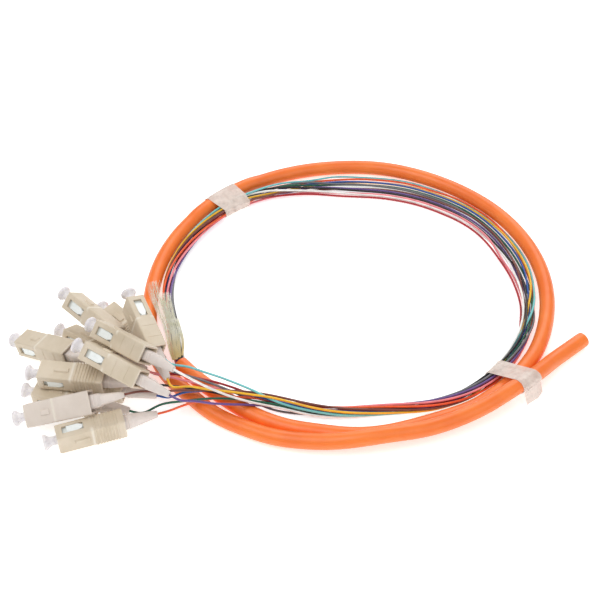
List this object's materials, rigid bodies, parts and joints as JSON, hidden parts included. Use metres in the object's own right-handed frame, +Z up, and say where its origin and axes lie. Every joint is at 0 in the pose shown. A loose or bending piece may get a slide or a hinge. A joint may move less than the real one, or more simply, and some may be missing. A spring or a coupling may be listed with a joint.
{
  "type": "fibre breakout cable",
  "caption": "Round jacketed fibre cable coiled once, its stripped end fanned into colour-coded buffered fibres with push-pull connectors and dust caps, tied with tape.",
  "frame": {"origin": "on the floor under the middle of the coil's footprint", "axes": "+X towards the jacket's cut end and away from the connectors, +Y away from the near side with the fan, +Z up from the floor"},
  "size_m": [0.2284, 0.1672, 0.0303],
  "materials": {
    "cable jacket": "smooth low-smoke jacket with a soft sheen",
    "connector housing": "moulded, satin",
    "plug core and boot": "moulded, satin, with a white ceramic ferrule",
    "dust cap": "translucent soft plastic",
    "tape": "thin clear tape, slightly milky",
    "yarn": "loose strength yarn",
    "slate fibre": "smooth buffer",
    "white fibre": "smooth buffer",
    "yellow fibre": "smooth buffer",
    "rose fibre": "smooth buffer",
    "red fibre": "smooth buffer",
    "violet fibre": "smooth buffer",
    "black fibre": "smooth buffer",
    "green fibre": "smooth buffer",
    "brown fibre": "smooth buffer",
    "orange fibre": "smooth buffer",
    "aqua fibre": "smooth buffer",
    "blue fibre": "smooth buffer"
  },
  "bodies": {
    "cable": {"cable_jacket": "cable jacket", "fibre_slate": "slate fibre", "plug_core_slate": "plug core and boot", "fibre_white": "white fibre", "plug_core_white": "plug core and boot", "fibre_yellow": "yellow fibre", "plug_core_yellow": "plug core and boot", "fibre_rose": "rose fibre", "plug_core_rose": "plug core and boot", "fibre_red": "red fibre", "plug_core_red": "plug core and boot", "fibre_violet": "violet fibre", "plug_core_violet": "plug core and boot", "fibre_black": "black fibre", "plug_core_black": "plug core and boot", "fibre_green": "green fibre", "plug_core_green": "plug core and boot", "fibre_brown": "brown fibre", "plug_core_brown": "plug core and boot", "fibre_orange": "orange fibre", "plug_core_orange": "plug core and boot", "fibre_aqua": "aqua fibre", "plug_core_aqua": "plug core and boot", "fibre_blue": "blue fibre", "plug_core_blue": "plug core and boot", "tape_tie_far": "tape", "tape_tie_near": "tape", "aramid_yarn_1": "yarn", "aramid_yarn_2": "yarn", "aramid_yarn_3": "yarn"},
    "sleeve_slate": {"grip_sleeve_slate": "connector housing"},
    "cap_slate": {"dust_cap_slate": "dust cap"},
    "sleeve_white": {"grip_sleeve_white": "connector housing"},
    "cap_white": {"dust_cap_white": "dust cap"},
    "sleeve_yellow": {"grip_sleeve_yellow": "connector housing"},
    "cap_yellow": {"dust_cap_yellow": "dust cap"},
    "sleeve_rose": {"grip_sleeve_rose": "connector housing"},
    "cap_rose": {"dust_cap_rose": "dust cap"},
    "sleeve_red": {"grip_sleeve_red": "connector housing"},
    "cap_red": {"dust_cap_red": "dust cap"},
    "sleeve_violet": {"grip_sleeve_violet": "connector housing"},
    "cap_violet": {"dust_cap_violet": "dust cap"},
    "sleeve_black": {"grip_sleeve_black": "connector housing"},
    "cap_black": {"dust_cap_black": "dust cap"},
    "sleeve_green": {"grip_sleeve_green": "connector housing"},
    "cap_green": {"dust_cap_green": "dust cap"},
    "sleeve_brown": {"grip_sleeve_brown": "connector housing"},
    "cap_brown": {"dust_cap_brown": "dust cap"},
    "sleeve_orange": {"grip_sleeve_orange": "connector housing"},
    "cap_orange": {"dust_cap_orange": "dust cap"},
    "sleeve_aqua": {"grip_sleeve_aqua": "connector housing"},
    "cap_aqua": {"dust_cap_aqua": "dust cap"},
    "sleeve_blue": {"grip_sleeve_blue": "connector housing"},
    "cap_blue": {"dust_cap_blue": "dust cap"}
  },
  "joints": [
    {"name": "sleeve_slate_slide", "type": "slide", "parent": "cable", "child": "sleeve_slate", "axis": [0.75, -0.652, -0.1115], "range_m": [0, 0.0015]},
    {"name": "cap_slate_slide", "type": "slide", "parent": "cable", "child": "cap_slate", "axis": [-0.75, 0.652, 0.1115], "range_m": [0, 0.006]},
    {"name": "sleeve_white_slide", "type": "slide", "parent": "cable", "child": "sleeve_white", "axis": [0.7967, -0.6003, 0.0698], "range_m": [0, 0.0015]},
    {"name": "cap_white_slide", "type": "slide", "parent": "cable", "child": "cap_white", "axis": [-0.7967, 0.6003, -0.0698], "range_m": [0, 0.006]},
    {"name": "sleeve_yellow_slide", "type": "slide", "parent": "cable", "child": "sleeve_yellow", "axis": [0.4162, -0.8925, -0.1736], "range_m": [0, 0.0015]},
    {"name": "cap_yellow_slide", "type": "slide", "parent": "cable", "child": "cap_yellow", "axis": [-0.4162, 0.8925, 0.1736], "range_m": [0, 0.006]},
    {"name": "sleeve_rose_slide", "type": "slide", "parent": "cable", "child": "sleeve_rose", "axis": [0.8486, -0.4704, 0.2419], "range_m": [0, 0.0015]},
    {"name": "cap_rose_slide", "type": "slide", "parent": "cable", "child": "cap_rose", "axis": [-0.8486, 0.4704, -0.2419], "range_m": [0, 0.006]},
    {"name": "sleeve_red_slide", "type": "slide", "parent": "cable", "child": "sleeve_red", "axis": [0.866, -0.5, 0], "range_m": [0, 0.0015]},
    {"name": "cap_red_slide", "type": "slide", "parent": "cable", "child": "cap_red", "axis": [-0.866, 0.5, 0], "range_m": [0, 0.006]},
    {"name": "sleeve_violet_slide", "type": "slide", "parent": "cable", "child": "sleeve_violet", "axis": [0.8551, -0.5138, -0.0698], "range_m": [0, 0.0015]},
    {"name": "cap_violet_slide", "type": "slide", "parent": "cable", "child": "cap_violet", "axis": [-0.8551, 0.5138, 0.0698], "range_m": [0, 0.006]},
    {"name": "sleeve_black_slide", "type": "slide", "parent": "cable", "child": "sleeve_black", "axis": [0.9925, -0.1219, 0], "range_m": [0, 0.0015]},
    {"name": "cap_black_slide", "type": "slide", "parent": "cable", "child": "cap_black", "axis": [-0.9925, 0.1219, 0], "range_m": [0, 0.006]},
    {"name": "sleeve_green_slide", "type": "slide", "parent": "cable", "child": "sleeve_green", "axis": [0.9703, -0.2419, 0], "range_m": [0, 0.0015]},
    {"name": "cap_green_slide", "type": "slide", "parent": "cable", "child": "cap_green", "axis": [-0.9703, 0.2419, 0], "range_m": [0, 0.006]},
    {"name": "sleeve_brown_slide", "type": "slide", "parent": "cable", "child": "sleeve_brown", "axis": [0.9707, 0.0849, 0.225], "range_m": [0, 0.0015]},
    {"name": "cap_brown_slide", "type": "slide", "parent": "cable", "child": "cap_brown", "axis": [-0.9707, -0.0849, -0.225], "range_m": [0, 0.006]},
    {"name": "sleeve_orange_slide", "type": "slide", "parent": "cable", "child": "sleeve_orange", "axis": [0.9509, 0.309, 0.0175], "range_m": [0, 0.0015]},
    {"name": "cap_orange_slide", "type": "slide", "parent": "cable", "child": "cap_orange", "axis": [-0.9509, -0.309, -0.0175], "range_m": [0, 0.006]},
    {"name": "sleeve_aqua_slide", "type": "slide", "parent": "cable", "child": "sleeve_aqua", "axis": [0.6634, -0.7419, 0.0976], "range_m": [0, 0.0015]},
    {"name": "cap_aqua_slide", "type": "slide", "parent": "cable", "child": "cap_aqua", "axis": [-0.6634, 0.7419, -0.0976], "range_m": [0, 0.006]},
    {"name": "sleeve_blue_slide", "type": "slide", "parent": "cable", "child": "sleeve_blue", "axis": [0.9703, -0.2419, 0], "range_m": [0, 0.0015]},
    {"name": "cap_blue_slide", "type": "slide", "parent": "cable", "child": "cap_blue", "axis": [-0.9703, 0.2419, 0], "range_m": [0, 0.006]}
  ]
}
